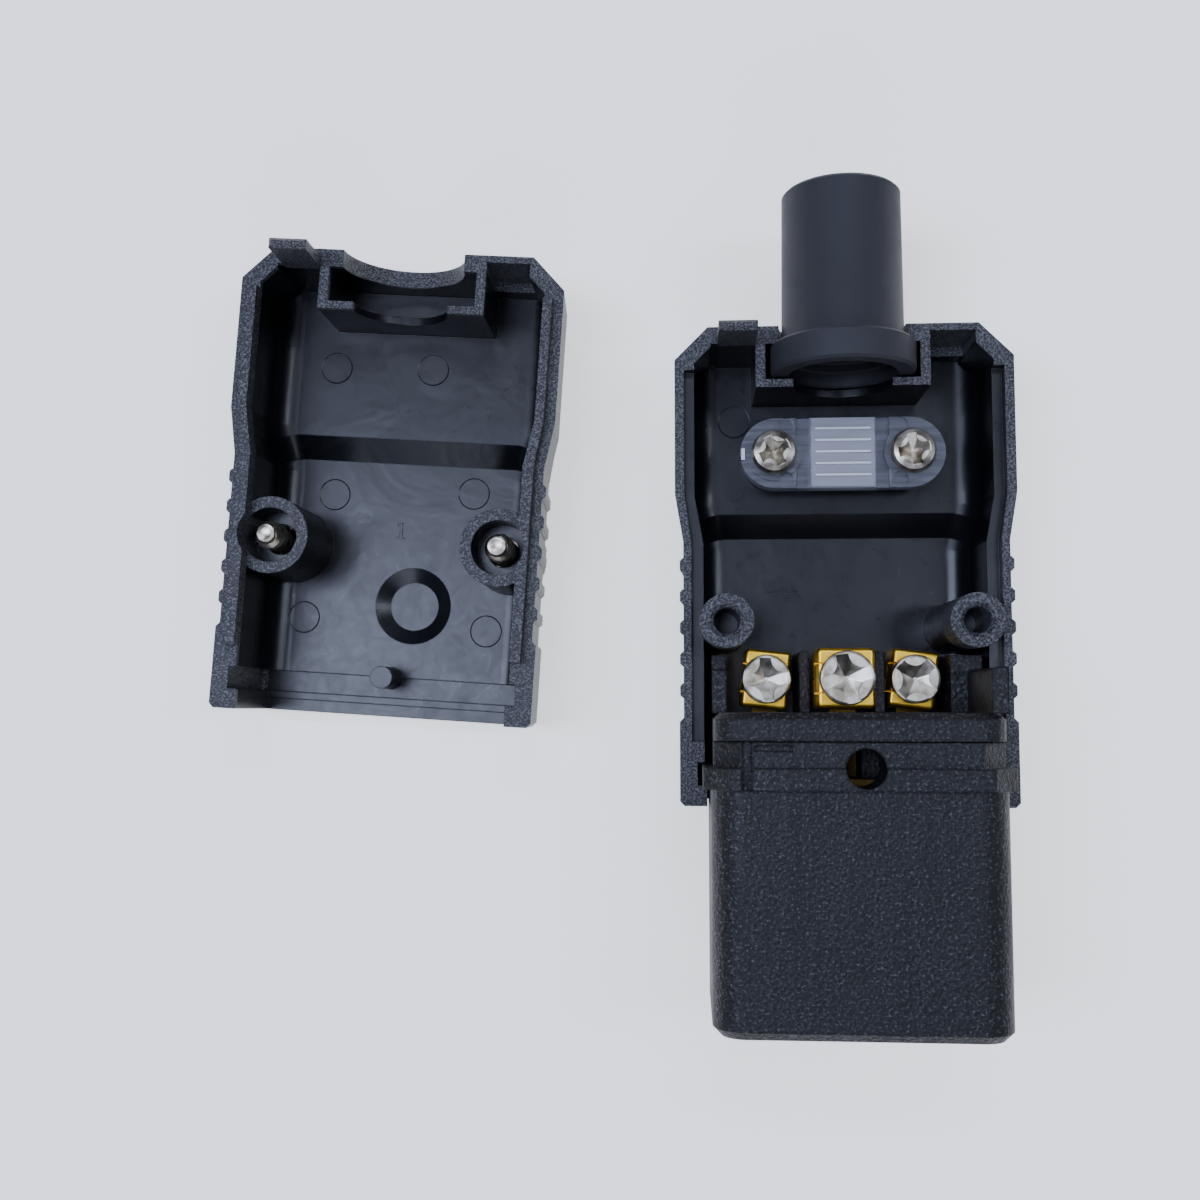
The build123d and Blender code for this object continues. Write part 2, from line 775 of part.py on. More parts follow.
# Contacts, cages and terminal screws
for pole, (pole_x, lift, skew, width, head_radius) in poles.items():
    slot_x, slot_z = slots[pole]
    tail_z = strip_z + lift
    tail_end = terminal_y + cage_depth / 2 - cage_wall
    low_leaf = slot_z - leaf_spacing / 2
    high_leaf = slot_z + leaf_spacing / 2
    leaf_tip = -nose_reach + nose_front_wall + leaf_end_gap
    with BuildPart() as contact:
        with BuildSketch(lengthwise(pole_x)):
            with BuildLine() as tail_line:
                Polyline(
                    (tail_end, tail_z + strip_thick / 2),
                    (riser_y, tail_z + strip_thick / 2),
                    (riser_y, low_leaf),
                )
            trace(tail_line.line, line_width=strip_thick)
        extrude(amount=tail_width / 2, both=True)
        with BuildSketch(lengthwise(slot_x)):
            with BuildLine() as leaf_line:
                Polyline(
                    (leaf_tip, low_leaf - leaf_mouth),
                    (leaf_tip + 2 * strip_thick, low_leaf + leaf_mouth / 2),
                    (riser_y, low_leaf),
                    (riser_y, high_leaf),
                    (leaf_tip + 2 * strip_thick, high_leaf - leaf_mouth / 2),
                    (leaf_tip, high_leaf + leaf_mouth),
                )
            trace(leaf_line.line, line_width=strip_thick)
        extrude(amount=leaf_width / 2, both=True)
    parts["contact_" + pole] = contact.part

    cage_z = cage_bottom_z + lift
    cage_plane = Plane(
        origin=bench.from_local_coords((pole_x, terminal_y, cage_z))
    ).rotated((0, 0, skew))
    with BuildPart() as cage:
        with BuildSketch(cage_plane):
            RectangleRounded(width, cage_depth, cage_corner)
        extrude(amount=cage_height)
        window = cage_height - cage_wall - cage_top_wall
        with BuildSketch(cage_plane.offset(cage_wall)):
            Rectangle(width - 2 * cage_wall, 2 * cage_depth)
        extrude(amount=window, mode=Mode.SUBTRACT)
        with BuildSketch(cage_plane.offset(cage_height)):
            Circle(screw_radius + screw_fit)
        extrude(amount=-cage_top_wall, mode=Mode.SUBTRACT)
    parts["cage_" + pole] = cage.part

    seat = cage_z + cage_height + head_gap
    shank = seat - tail_z - strip_thick - strip_gap
    sizes = (
        head_radius,
        screw_head_height,
        terminal_head_edge,
        screw_radius,
        shank,
        terminal_screw_tip,
        1,
    )
    parts["terminal_screw_" + pole] = machine_screw(
        (pole_x, terminal_y), seat, sizes, skew
    )

# Cord clamp bar with two screws
with BuildPart() as clamp_bar:
    with BuildSketch(bench.offset(clamp_bar_bottom)):
        with Locations((clamp_x, clamp_y)):
            SlotOverall(clamp_bar_length, clamp_bar_width)
            with GridLocations(clamp_spacing, 0, 2, 1):
                Circle(clamp_screw_radius + clamp_hole_gap, mode=Mode.SUBTRACT)
    extrude(amount=clamp_bar_thick)
    with BuildSketch(bench.offset(clamp_bar_top)):
        with Locations((clamp_x, clamp_y)):
            Rectangle(clamp_pad_length, clamp_bar_width)
    extrude(amount=clamp_pad_rise)
    groove_pitch = clamp_bar_width / (clamp_groove_count + 1)
    with BuildSketch(bench.offset(clamp_bar_top)):
        with Locations((clamp_x, clamp_y)):
            with GridLocations(0, groove_pitch, 1, clamp_groove_count):
                Rectangle(clamp_pad_length, clamp_groove_width)
    extrude(amount=clamp_pad_rise, mode=Mode.SUBTRACT)
parts["clamp_bar"] = clamp_bar.part

clamp_sizes = (
    clamp_head_radius,
    clamp_head_height,
    clamp_head_edge,
    clamp_screw_radius,
    clamp_screw_length,
    clamp_screw_tip,
    1,
)
case_sizes = (
    case_head_radius,
    case_head_height,
    case_head_edge,
    case_screw_radius,
    case_screw_length,
    case_screw_tip,
    -1,
)
for side_name, side in (("left", -1), ("right", 1)):
    parts["clamp_screw_" + side_name] = machine_screw(
        (clamp_x + side * clamp_spacing / 2, clamp_y),
        clamp_seat,
        clamp_sizes,
        side * clamp_screw_turn,
    )
    cover_screw = machine_screw(
        (side * boss_x, boss_y),
        seat_height - clamp_seat_gap,
        case_sizes,
        side * case_screw_turn,
    )
    parts["cover_screw_" + side_name] = cover_screw.moved(cover_place)

os.makedirs("parts", exist_ok=True)
for name, part in parts.items():
    part.label = name
    export_step(part, "parts/" + name + ".step")
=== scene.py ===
import math

import bpy
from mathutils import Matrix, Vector


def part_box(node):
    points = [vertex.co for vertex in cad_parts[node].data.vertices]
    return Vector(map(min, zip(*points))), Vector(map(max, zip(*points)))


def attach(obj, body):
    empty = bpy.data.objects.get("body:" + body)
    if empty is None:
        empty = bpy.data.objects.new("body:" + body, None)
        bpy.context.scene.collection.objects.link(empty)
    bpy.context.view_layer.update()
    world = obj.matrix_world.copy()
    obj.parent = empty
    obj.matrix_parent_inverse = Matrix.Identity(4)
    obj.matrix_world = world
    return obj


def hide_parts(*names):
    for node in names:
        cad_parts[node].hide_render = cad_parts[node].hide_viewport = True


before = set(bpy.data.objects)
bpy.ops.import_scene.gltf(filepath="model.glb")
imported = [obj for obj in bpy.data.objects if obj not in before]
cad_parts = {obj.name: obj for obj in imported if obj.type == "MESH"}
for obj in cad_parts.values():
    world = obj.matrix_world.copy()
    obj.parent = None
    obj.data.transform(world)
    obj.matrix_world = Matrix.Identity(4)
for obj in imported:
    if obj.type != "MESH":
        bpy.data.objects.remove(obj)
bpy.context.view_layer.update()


# Camera: held about 156 mm above the bench and looking almost straight down at the opened
# connector, with its cover to the left.
bpy.ops.object.camera_add(
    location=(-0.01731, -0.00374, 0.15626), rotation=(0.0823, 0.0670, 0.0011)
)
camera = bpy.context.object
camera.data.sensor_width = 36
camera.data.lens = 38.99
camera.data.clip_start = 0.01
bpy.context.scene.camera = camera


# Bench and light: a matt white card, lit evenly from below as on a light table, a softbox
# over the cover at the left, a narrow one and a small lamp at the right, and weak ones
# behind and in front.
def linear(code):
    """A hex colour as seen on screen, turned to the linear values that light is counted in."""
    parts = [int(code[i:i + 2], 16) / 255 for i in (1, 3, 5)]
    return [c / 12.92 if c <= 0.04045 else ((c + 0.055) / 1.055) ** 2.4 for c in parts] + [1]


def new_finish(name):
    """Starts a material, and hands over its node tree and its shader with it."""
    finish = bpy.data.materials.new(name)
    finish.use_nodes = True
    return finish, finish.node_tree, finish.node_tree.nodes["Principled BSDF"]


below_underside = -0.0001  # the card lies a hair lower than the base, so they don't flicker
card, _, card_shader = new_finish("matt_white_card")
card_shader.inputs["Base Color"].default_value = linear("#f8f6f0")
card_shader.inputs["Roughness"].default_value = 0.9
card_shader.inputs["Emission Color"].default_value = linear("#ffffff")
card_shader.inputs["Emission Strength"].default_value = 0.9
bpy.ops.mesh.primitive_plane_add(size=4, location=(0, 0, below_underside))
floor = bpy.context.object
floor.name = "bench_card"
floor.data.materials.append(card)

aimed_at = Vector((-0.02, 0.0, 0.0))
softboxes = [  # name, place, width, height, watts, colour
    ("softbox_left", (-0.43, 0.01, 1.00), 0.34, 0.68, 8.0, "#d3deff"),
    ("softbox_right", (0.42, 0.05, 0.75), 0.07, 0.55, 1.6, "#dbe5ff"),
    ("lamp_right", (0.46, 0.17, 0.68), 0.06, 0.05, 0.35, "#f2f5ff"),
    ("softbox_back", (0.05, 0.55, 0.95), 0.60, 0.16, 3.0, "#dbe5ff"),
    ("fill_front", (0.05, -0.75, 0.60), 0.70, 0.25, 2.5, "#dbe5ff"),
]
for name, place, wide, high, power, colour in softboxes:
    bpy.ops.object.light_add(type="AREA", location=place)
    box = bpy.context.object
    box.name = name
    box.data.shape = "RECTANGLE"
    box.data.size = wide
    box.data.size_y = high
    box.data.energy = power
    box.data.color = linear(colour)[:3]
    box.rotation_euler = (aimed_at - Vector(place)).to_track_quat("-Z", "Y").to_euler()

world = bpy.context.scene.world or bpy.data.worlds.new("studio")
bpy.context.scene.world = world
world.use_nodes = True
room = world.node_tree.nodes["Background"]
room.inputs["Color"].default_value = linear("#cddaff")
room.inputs["Strength"].default_value = 0.07


# Shell halves: black glass-filled nylon mouldings. The mould was spark eroded outside and on
# the rims, which leaves a matt grain, its small glints painted into its colour as light specks
# (painted highlights), and polished inside, where the walls reflect softly and show faint
# swirls. Each half has the finish in its own place.
def add(tree, kind, settings=None, links=None):
    """Adds one node to a material: settings name its sockets or properties, links its inputs."""
    node = tree.nodes.new(kind)
    for name, value in (settings or {}).items():
        if isinstance(name, int) or name in node.inputs:
            node.inputs[name].default_value = value
        else:
            setattr(node, name, value)
    for name, source in (links or {}).items():
        tree.links.new(source, node.inputs[name])
    return node


def dress(node_name, finish):
    """Gives a CAD node a better material."""
    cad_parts[node_name].data.materials.clear()
    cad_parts[node_name].data.materials.append(finish)


widens_from, widens_to = 0.02886, 0.03416  # both halves get wider here, measured from the front
rear_wall = 0.05115
mark_full, mark_gone = 0.00178, 0.00192


def moulded_shell(name, turn, place, rim_height, across_front, across_rear, marks):
    """The finish of one half: polished inside, below its rims, and grained elsewhere."""
    shell, tree, skin = new_finish(name)
    here = add(tree, "ShaderNodeTexCoord")
    own = add(tree, "ShaderNodeMapping", {"vector_type": "TEXTURE", "Location": place,
              "Rotation": (0, 0, turn)}, {"Vector": here.outputs["Object"]})
    axes = add(tree, "ShaderNodeSeparateXYZ", links={0: own.outputs[0]})
    facing = add(tree, "ShaderNodeNewGeometry")
    lean = add(tree, "ShaderNodeSeparateXYZ", links={0: facing.outputs["Normal"]})
    side = add(tree, "ShaderNodeMath", {"operation": "ABSOLUTE"}, {0: axes.outputs["X"]})
    reach = add(tree, "ShaderNodeMapRange", {"From Min": widens_from, "From Max": widens_to,
                "To Min": across_front, "To Max": across_rear}, {"Value": axes.outputs["Y"]})
    within = add(tree, "ShaderNodeMath", {"operation": "LESS_THAN"},
                 {0: side.outputs[0], 1: reach.outputs[0]})
    below = add(tree, "ShaderNodeMath", {"operation": "LESS_THAN", 1: rim_height},
                {0: axes.outputs["Z"]})
    before = add(tree, "ShaderNodeMath", {"operation": "LESS_THAN", 1: rear_wall},
                 {0: axes.outputs["Y"]})
    upward = add(tree, "ShaderNodeMath", {"operation": "GREATER_THAN", 1: -0.5},
                 {0: lean.outputs["Z"]})
    inside = add(tree, "ShaderNodeMath", {"operation": "MULTIPLY"},
                 {0: within.outputs[0], 1: below.outputs[0]})
    inside_too = add(tree, "ShaderNodeMath", {"operation": "MULTIPLY"},
                     {0: before.outputs[0], 1: upward.outputs[0]})
    smooth = add(tree, "ShaderNodeMath", {"operation": "MULTIPLY"},
                 {0: inside.outputs[0], 1: inside_too.outputs[0]})

    # Round marks of the ejector pins, 3.7 mm across and 0.06 mm deep in the floor.
    step = None
    for mark in marks:
        away = add(tree, "ShaderNodeVectorMath", {"operation": "SUBTRACT", 1: mark},
                   {0: own.outputs[0]})
        flat = add(tree, "ShaderNodeVectorMath", {"operation": "MULTIPLY", 1: (1, 1, 0)},
                   {0: away.outputs[0]})
        length = add(tree, "ShaderNodeVectorMath", {"operation": "LENGTH"},
                     {0: flat.outputs[0]})
        edge = add(tree, "ShaderNodeMapRange", {"From Min": mark_full, "From Max": mark_gone,
                   "To Min": 1, "To Max": 0}, {"Value": length.outputs["Value"]})
        step = edge if step is None else add(tree, "ShaderNodeMath", {"operation": "MAXIMUM"},
                                             {0: step.outputs[0], 1: edge.outputs[0]})

    # Spark-eroded grain of 0.22 mm, drawn coarse enough to show, faint flow swirls 10 mm
    # long on the polish, and scuffs of 2.5 mm that change its gloss.
    grain = add(tree, "ShaderNodeTexNoise", {"Scale": 1 / 0.00022, "Detail": 3,
                "Roughness": 0.6}, {"Vector": own.outputs[0]})
    crisp = add(tree, "ShaderNodeMapRange", {"From Min": 0.42, "From Max": 0.60},
                {"Value": grain.outputs[0]})
    flow = add(tree, "ShaderNodeTexNoise", {"Scale": 1 / 0.010, "Detail": 3, "Roughness": 0.5,
               "Distortion": 0.8}, {"Vector": own.outputs[0]})
    scuffs = add(tree, "ShaderNodeTexNoise", {"Scale": 1 / 0.0025, "Detail": 6,
                 "Roughness": 0.72, "Distortion": 1.2}, {"Vector": own.outputs[0]})
    rough_bump = add(tree, "ShaderNodeBump", {"Strength": 0.9, "Distance": 0.00005},
                     {"Height": crisp.outputs[0]})
    flow_bump = add(tree, "ShaderNodeBump", {"Strength": 0.5, "Distance": 0.00018},
                    {"Height": flow.outputs[0]})
    mark_bump = add(tree, "ShaderNodeBump", {"Strength": 1.0, "Distance": 0.00006,
                    "invert": True}, {"Height": step.outputs[0],
                    "Normal": flow_bump.outputs[0]})
    surface = add(tree, "ShaderNodeMix", {"data_type": "VECTOR"},
                  {0: smooth.outputs[0], 4: rough_bump.outputs[0], 5: mark_bump.outputs[0]})
    rounded = add(tree, "ShaderNodeBevel", {"samples": 4, "Radius": 0.00016},
                  {"Normal": surface.outputs[1]})
    tree.links.new(rounded.outputs[0], skin.inputs["Normal"])

    dull = add(tree, "ShaderNodeMapRange", {"From Min": 0.3, "From Max": 0.7, "To Min": 0.26,
               "To Max": 0.36}, {"Value": scuffs.outputs[0]})
    rough = add(tree, "ShaderNodeMix", {"data_type": "FLOAT", 2: 0.42},
                {0: smooth.outputs[0], 3: dull.outputs[0]})
    tree.links.new(rough.outputs[0], skin.inputs["Roughness"])
    # Painted highlights: the lighter specks of the grain on the rims and outside are glints
    # painted into the base colour, over a dark grey grain.
    painted_glints = add(tree, "ShaderNodeMix", {"data_type": "RGBA", 6: linear("#18181a"),
                7: linear("#68686c")}, {0: crisp.outputs[0]})
    tint = add(tree, "ShaderNodeMix", {"data_type": "RGBA", 7: linear("#0c0d11")},
               {0: smooth.outputs[0], 6: painted_glints.outputs[2]})
    tree.links.new(tint.outputs[2], skin.inputs["Base Color"])
    skin.inputs["IOR"].default_value = 1.53
    skin.inputs["Specular IOR Level"].default_value = 0.45
    return shell


base_place = (0, -0.01443, 0)
base_marks = [(-0.01167, 0.0443, 0)]
base_finish = moulded_shell("black_nylon_base", 0, base_place, rim_height=0.01355,
                            across_front=0.01683, across_rear=0.01758, marks=base_marks)
dress("base_shell", base_finish)

cover_place = (-0.0527, -0.00493, 0)
cover_turn = math.radians(-3.67)
cover_marks = [(-0.0095, 0.0416, 0), (0.0023, 0.0419, 0), (-0.0090, 0.0264, 0),
               (0.00805, 0.0274, 0), (-0.01155, 0.0113, 0), (0.0107, 0.0109, 0)]
cover_finish = moulded_shell("black_nylon_cover", cover_turn, cover_place, rim_height=0.01285,
                             across_front=0.01548, across_rear=0.01643, marks=cover_marks)
dress("cover_shell", cover_finish)


# Nose and terminal carrier: a black thermoplastic that resists heat, moulded with an even
# leather-like grain and faint slanting rubs; the grain's small glints are painted into its
# colour as light specks (painted highlights).
# The cells are 0.42 mm wide, and the rubs 11 mm long and 1.1 mm wide.
grained, tree, skin = new_finish("black_polyamide_grained")
here = add(tree, "ShaderNodeTexCoord")
cells = add(tree, "ShaderNodeTexVoronoi", {"Scale": 1 / 0.00042, "feature": "SMOOTH_F1",
            "Smoothness": 0.5}, {"Vector": here.outputs["Object"]})
grain = add(tree, "ShaderNodeTexNoise", {"Scale": 1 / 0.00030, "Detail": 3, "Roughness": 0.6},
            {"Vector": here.outputs["Object"]})
both = add(tree, "ShaderNodeMath", {"operation": "ADD"},
           {0: cells.outputs[0], 1: grain.outputs[0]})
bump = add(tree, "ShaderNodeBump", {"Strength": 1.0, "Distance": 0.00008},
           {"Height": both.outputs[0]})
rounded = add(tree, "ShaderNodeBevel", {"samples": 4, "Radius": 0.00035},
              {"Normal": bump.outputs[0]})
tree.links.new(rounded.outputs[0], skin.inputs["Normal"])
slant = add(tree, "ShaderNodeMapping", {"Rotation": (0, 0, 0.7), "Scale": (900, 90, 90)},
            {"Vector": here.outputs["Object"]})
rubs = add(tree, "ShaderNodeTexNoise", {"Scale": 1, "Detail": 5, "Roughness": 0.65},
           {"Vector": slant.outputs[0]})
dull = add(tree, "ShaderNodeMapRange", {"From Min": 0.35, "From Max": 0.65, "To Min": 0.42,
           "To Max": 0.58}, {"Value": rubs.outputs[0]})
tree.links.new(dull.outputs[0], skin.inputs["Roughness"])
# Painted highlights: the brightest points of the grain are painted as light grey specks in the
# base colour.
painted_glint_specks = add(tree, "ShaderNodeMapRange", {"From Min": 0.56, "From Max": 0.68},
             {"Value": grain.outputs[0]})
tint = add(tree, "ShaderNodeMix", {"data_type": "RGBA", 6: linear("#0f0f11"),
           7: linear("#505054")}, {0: painted_glint_specks.outputs[0]})
tree.links.new(tint.outputs[2], skin.inputs["Base Color"])
skin.inputs["IOR"].default_value = 1.5
skin.inputs["Specular IOR Level"].default_value = 0.36
for name in ("nose_body", "terminal_carrier"):
    dress(name, grained)


# Boot: a moulded black rubber grommet with a satin skin and long soft highlights. Its collar
# sits in the slot of the shell, and stepped rings in its mouth seal on the cord.
weld = 0.000002  # points closer than this are made one


def draw_line(points):
    """Draws a line through the points by extruding one corner, and leaves it in edit mode."""
    bpy.ops.object.select_all(action="DESELECT")
    bpy.ops.mesh.primitive_plane_add(size=0.001, location=(0, 0, 0))
    bpy.ops.object.mode_set(mode="EDIT")
    bpy.ops.mesh.select_mode(type="VERT")
    bpy.ops.mesh.select_all(action="SELECT")
    bpy.ops.mesh.merge(type="CENTER")
    bpy.ops.transform.translate(value=points[0])
    for start, end in zip(points, points[1:]):
        step = tuple(b - a for a, b in zip(start, end))
        bpy.ops.mesh.extrude_vertices_move(TRANSFORM_OT_translate={"value": step})
    return bpy.context.object


def turn_round(centre, axis, steps):
    """Spins the line just drawn once round and closes the seam and the poles."""
    bpy.ops.mesh.select_all(action="SELECT")
    bpy.ops.mesh.spin(steps=steps, angle=2 * math.pi, center=centre, axis=axis)
    bpy.ops.mesh.select_all(action="SELECT")
    bpy.ops.mesh.remove_doubles(threshold=weld)
    bpy.ops.mesh.normals_make_consistent(inside=False)
    bpy.ops.object.mode_set(mode="OBJECT")
    bpy.ops.object.shade_smooth_by_angle(angle=math.radians(40))


boot_low, boot_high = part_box("cable_boot")
boot_z = (boot_low[2] + boot_high[2]) / 2
collar = (boot_high[0] - boot_low[0]) / 2
front, back = boot_low[1], boot_high[1]
bore, neck, mouth = 0.0046, 0.0062, 0.0060
boot_line = [  # radius and place of each corner: neck, collar, the rings of the mouth, bore
    (bore, back), (neck, back), (0.00655, back - 0.00035), (0.0067, front + 0.0038),
    (0.0069, front + 0.0034), (collar - 0.0003, front + 0.0034), (collar, front + 0.0031),
    (collar, front + 0.0003), (collar - 0.0003, front), (mouth, front),
    (0.0058, front + 0.0004), (0.0058, front + 0.0016), (0.0055, front + 0.0018),
    (0.0055, front + 0.0026), (0.0052, front + 0.0028), (0.0052, front + 0.0036),
    (0.0049, front + 0.0038), (0.0049, front + 0.0050), (bore, front + 0.0054),
    (bore, back),
]
boot = draw_line([(r, y, boot_z) for r, y in boot_line])
turn_round((0, 0, boot_z), (0, 1, 0), 96)
boot.name = "boot"

satin, tree, skin = new_finish("black_rubber_satin")
here = add(tree, "ShaderNodeTexCoord")
bloom = add(tree, "ShaderNodeTexNoise", {"Scale": 1 / 0.004, "Detail": 5, "Roughness": 0.6},
            {"Vector": here.outputs["Object"]})
skin_grain = add(tree, "ShaderNodeTexNoise", {"Scale": 1 / 0.0002, "Detail": 2},
                 {"Vector": here.outputs["Object"]})
bump = add(tree, "ShaderNodeBump", {"Strength": 0.5, "Distance": 0.00002},
           {"Height": skin_grain.outputs[0]})
tree.links.new(bump.outputs[0], skin.inputs["Normal"])
dull = add(tree, "ShaderNodeMapRange", {"From Min": 0.3, "From Max": 0.7, "To Min": 0.50,
           "To Max": 0.62}, {"Value": bloom.outputs[0]})
tree.links.new(dull.outputs[0], skin.inputs["Roughness"])
skin.inputs["Base Color"].default_value = linear("#36363a")
skin.inputs["IOR"].default_value = 1.52
skin.inputs["Specular IOR Level"].default_value = 0.22
boot.data.materials.append(satin)
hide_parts("cable_boot")
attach(boot, "base")


# Brass: the clamp cages are bent round from strip, with a seam of interlocked tabs at one
# side, and keep the bright skin of the rolling, with lines 1.1 mm long and 0.17 mm apart.
# The contact strips, seen only through the holes of the nose, are stamped; their dull brown is
# painted shade, for the shade in those holes.
brass, tree, skin = new_finish("bright_stamped_brass")
here = add(tree, "ShaderNodeTexCoord")
rolling = add(tree, "ShaderNodeMapping", {"Scale": (900, 6000, 3000)},
              {"Vector": here.outputs["Object"]})
lines = add(tree, "ShaderNodeTexNoise", {"Scale": 1, "Detail": 2, "Roughness": 0.5},
            {"Vector": rolling.outputs[0]})
stain = add(tree, "ShaderNodeTexNoise", {"Scale": 1 / 0.0018, "Detail": 3},
            {"Vector": here.outputs["Object"]})
tone = add(tree, "ShaderNodeMix", {"data_type": "RGBA", 6: linear("#ffda50"),
           7: linear("#f0b62c")}, {0: stain.outputs[0]})
tree.links.new(tone.outputs[2], skin.inputs["Base Color"])
bump = add(tree, "ShaderNodeBump", {"Strength": 0.3, "Distance": 0.0000015},
           {"Height": lines.outputs[0]})
tree.links.new(bump.outputs[0], skin.inputs["Normal"])
dull = add(tree, "ShaderNodeMapRange", {"From Min": 0.3, "From Max": 0.7, "To Min": 0.30,
           "To Max": 0.42}, {"Value": stain.outputs[0]})
tree.links.new(dull.outputs[0], skin.inputs["Roughness"])
skin.inputs["Metallic"].default_value = 1

# Painted shade: the contacts' brass is darkened to a dull brown, with a random mottle, for the
# shade down in the holes of the nose.
contact_brass_shaded, tree, skin = new_finish("contact_brass_painted_shade")
here = add(tree, "ShaderNodeTexCoord")
contact_mottle = add(tree, "ShaderNodeTexNoise", {"Scale": 1 / 0.0012, "Detail": 4},
           {"Vector": here.outputs["Object"]})
tone = add(tree, "ShaderNodeMix", {"data_type": "RGBA", 6: linear("#6a5426"),
           7: linear("#4a3a1c")}, {0: contact_mottle.outputs[0]})
tree.links.new(tone.outputs[2], skin.inputs["Base Color"])
skin.inputs["Metallic"].default_value = 1
skin.inputs["Roughness"].default_value = 0.45
for pole in ("live", "earth", "neutral"):
    dress("contact_" + pole, contact_brass_shaded)


def pick(piece):
    """Selects this piece alone and makes it the active one."""
    bpy.ops.object.select_all(action="DESELECT")
    piece.select_set(True)
    bpy.context.view_layer.objects.active = piece


def combine(piece, tool, operation):
    """Cuts the tool's shape out of the piece, or makes the two one, and removes the tool."""
    pick(piece)
    change = piece.modifiers.new("change", "BOOLEAN")
    change.operation = operation
    change.solver = "EXACT"
    change.object = tool
    bpy.ops.object.modifier_apply(modifier="change")
    bpy.data.objects.remove(tool, do_unlink=True)


def cut_away(piece, tool):
    combine(piece, tool, "DIFFERENCE")


def grow_on(piece, addition):
    combine(piece, addition, "UNION")


def block(low, high):
    """A block between two corners, as the start of a piece or of a cutting tool."""
    bpy.ops.object.select_all(action="DESELECT")
    centre = [(a + b) / 2 for a, b in zip(low, high)]
    bpy.ops.mesh.primitive_cube_add(size=1, location=centre)
    piece = bpy.context.object
    piece.scale = [b - a for a, b in zip(low, high)]
    bpy.ops.object.transform_apply(location=True, rotation=True, scale=True)
    return piece


def bar_round(radius, low, high, place=(0, 0), vertices=48):
    """A round bar standing between two heights, as the start of a piece or of a tool."""
    bpy.ops.object.select_all(action="DESELECT")
    bpy.ops.mesh.primitive_cylinder_add(
        vertices=vertices, radius=radius, depth=high - low,
        location=(place[0], place[1], (low + high) / 2),
    )
    piece = bpy.context.object
    bpy.ops.object.transform_apply(location=True, rotation=True, scale=True)
    return piece


def even_out(piece, angle):
    """Shades the piece smooth up to an angle, with its large flat faces kept flat."""
    pick(piece)
    bpy.ops.object.shade_smooth_by_angle(angle=math.radians(angle))
    even = piece.modifiers.new("even", "WEIGHTED_NORMAL")
    even.weight = 100
    even.keep_sharp = True
    bpy.ops.object.modifier_apply(modifier="even")


def settle(piece, place, turn=0.0, flip=False):
    """Turns the piece, moves it to its place and leaves that in its mesh."""
    pick(piece)
    piece.rotation_euler = (math.pi if flip else 0, 0, turn)
    piece.location = place
    bpy.ops.object.transform_apply(location=True, rotation=True, scale=True)


cage_deep, cage_high = 0.0065, 0.0055
strip, top_plate = 0.0008, 0.0014  # thickness of the sides and of the threaded top
screw_hole = 0.00183
tab, tab_foot = 0.0016, 0.0026  # half the width of the middle tab, and where the tabs begin
slit, notch = 0.00008, 0.00011  # half the widths of the joint and of the gaps beside the tab
past = 0.001  # cutting tools reach past the face that they enter
for pole, wide, turn in (("live", 0.0052, -6), ("earth", 0.0062, 0), ("neutral", 0.0052, -7)):
    cage = block((-wide / 2, -cage_deep / 2, 0), (wide / 2, cage_deep / 2, cage_high))
    cage.name = "cage_" + pole + "_brass"
    bpy.ops.object.mode_set(mode="EDIT")
    bpy.ops.mesh.select_mode(type="EDGE")
    bpy.ops.mesh.select_all(action="SELECT")
    bpy.ops.mesh.bevel(offset=0.0005, segments=5)
    bpy.ops.object.mode_set(mode="OBJECT")
    inner = wide / 2 - strip
    cut_away(cage, block((-inner, -0.01, strip), (inner, 0.01, cage_high - top_plate)))
    cut_away(cage, bar_round(screw_hole, cage_high - 0.002, cage_high + 0.002))
    seam = -wide / 2
    cut_away(cage, block((seam - past, -slit, -past), (seam + 0.0005, slit, tab_foot)))
    for along in (-tab, tab):
        cut_away(cage, block((seam - past, along - notch, tab_foot),
                             (seam + 0.0007, along + notch, cage_high + past)))
    cut_away(cage, block((seam - past, -tab, 0.0025), (seam + 0.0005, tab, 0.00266)))
    even_out(cage, 30)
    low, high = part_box("cage_" + pole)
    settle(cage, ((low[0] + high[0]) / 2, (low[1] + high[1]) / 2, low[2]), math.radians(turn))
    cage.data.materials.append(brass)
    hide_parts("cage_" + pole)
    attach(cage, "clamp_" + pole)


# Screws: cold-headed steel with rolled threads and a nickel plating, bright with a warm
# grime in patches. The terminal screws have flat heads with a combined slot and cross, the
# clamp screws domed ones, all worn by the driver, and those of the cover are longer.
nickel, tree, skin = new_finish("nickel_plated_steel")
here = add(tree, "ShaderNodeTexCoord")
scratch = add(tree, "ShaderNodeTexNoise", {"Scale": 1 / 0.0009, "Detail": 4, "Roughness": 0.6,
              "Distortion": 0.8}, {"Vector": here.outputs["Object"]})
worn = add(tree, "ShaderNodeTexNoise", {"Scale": 1 / 0.0014, "Detail": 3},
           {"Vector": here.outputs["Object"]})
bump = add(tree, "ShaderNodeBump", {"Strength": 0.5, "Distance": 0.000004},
           {"Height": scratch.outputs[0]})
tree.links.new(bump.outputs[0], skin.inputs["Normal"])
dull = add(tree, "ShaderNodeMapRange", {"From Min": 0.4, "From Max": 0.7, "To Min": 0.30,
           "To Max": 0.42}, {"Value": worn.outputs[0]})
tree.links.new(dull.outputs[0], skin.inputs["Roughness"])
grime = add(tree, "ShaderNodeMapRange", {"From Min": 0.35, "From Max": 0.55},
            {"Value": worn.outputs[0]})
plating = add(tree, "ShaderNodeMix", {"data_type": "RGBA", 6: linear("#a89f8a"),
              7: linear("#dbd3c2")}, {0: grime.outputs[0]})
tree.links.new(plating.outputs[2], skin.inputs["Base Color"])
skin.inputs["Metallic"].default_value = 1


